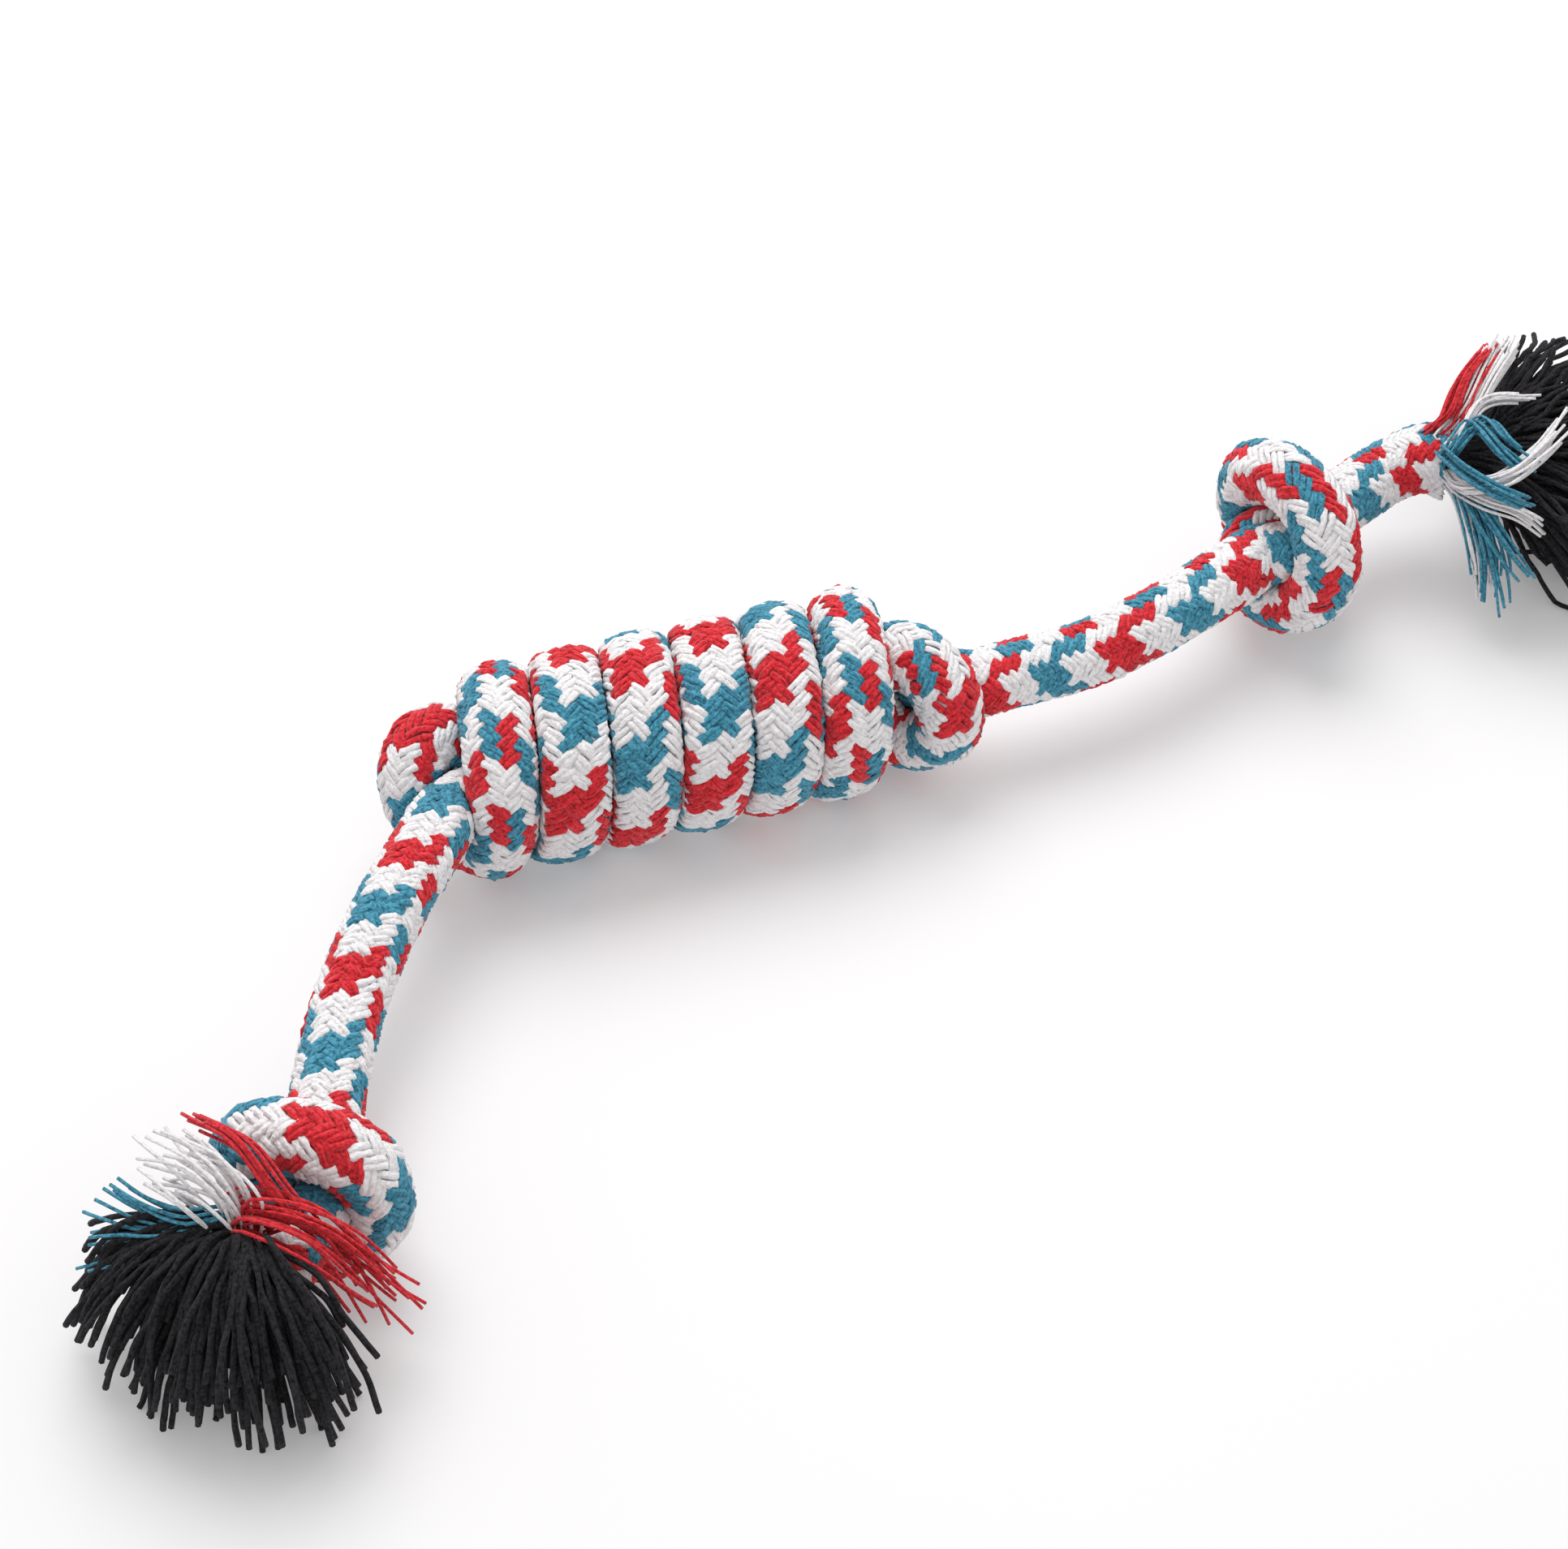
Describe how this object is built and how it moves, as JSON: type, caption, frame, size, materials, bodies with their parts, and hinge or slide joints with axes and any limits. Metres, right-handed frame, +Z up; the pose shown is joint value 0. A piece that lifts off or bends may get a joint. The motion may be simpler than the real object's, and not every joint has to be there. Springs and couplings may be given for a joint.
{
  "type": "rope dog toy",
  "caption": "Tug toy of braided cotton rope, wound into a long barrel knot, with an overhand knot and a frayed tassel at each end.",
  "frame": {"origin": "on the floor, on the pressed flat under the middle turn of the barrel knot", "axes": "+X along the barrel knot towards the end with the stub, +Y away from the viewer, +Z up"},
  "size_m": [0.3216, 0.1795, 0.0406],
  "materials": {
    "sheath_cotton": "matt braided cotton yarn",
    "core_cotton": "matt cotton yarn"
  },
  "bodies": {
    "barrel": {"barrel_knot": "sheath_cotton", "left_run_inner_sheath": "sheath_cotton", "left_run_inner_core": "core_cotton", "right_run_inner_sheath": "sheath_cotton", "right_run_inner_core": "core_cotton"},
    "left_link": {"left_run_middle_sheath": "sheath_cotton", "left_run_middle_core": "core_cotton"},
    "left_arm": {"left_run_outer_sheath": "sheath_cotton", "left_run_outer_core": "core_cotton", "left_knot": "sheath_cotton", "left_tassel_core": "core_cotton", "left_tassel_sheath": "sheath_cotton"},
    "right_link": {"right_run_middle_sheath": "sheath_cotton", "right_run_middle_core": "core_cotton"},
    "right_arm": {"right_run_outer_sheath": "sheath_cotton", "right_run_outer_core": "core_cotton", "right_knot": "sheath_cotton", "right_stub_sheath": "sheath_cotton", "right_stub_core": "core_cotton", "right_tassel_core": "core_cotton", "right_tassel_sheath": "sheath_cotton"}
  },
  "joints": [
    {"name": "left_swing", "type": "hinge", "parent": "barrel", "child": "left_link", "pos_m": [-0.06065, -0.03085, 0.02029], "axis": [0, 0, 1], "range_deg": [-45, 45]},
    {"name": "left_lift", "type": "hinge", "parent": "left_link", "child": "left_arm", "pos_m": [-0.07061, -0.04682, 0.01731], "axis": [-0.8972, 0.4416, 0], "range_deg": [0, 45]},
    {"name": "right_swing", "type": "hinge", "parent": "barrel", "child": "right_link", "pos_m": [0.07914, -0.00297, 0.01776], "axis": [0, 0, 1], "range_deg": [-45, 45]},
    {"name": "right_lift", "type": "hinge", "parent": "right_link", "child": "right_arm", "pos_m": [0.09653, 0.00124, 0.01899], "axis": [0.321, -0.9471, 0], "range_deg": [0, 45]}
  ]
}
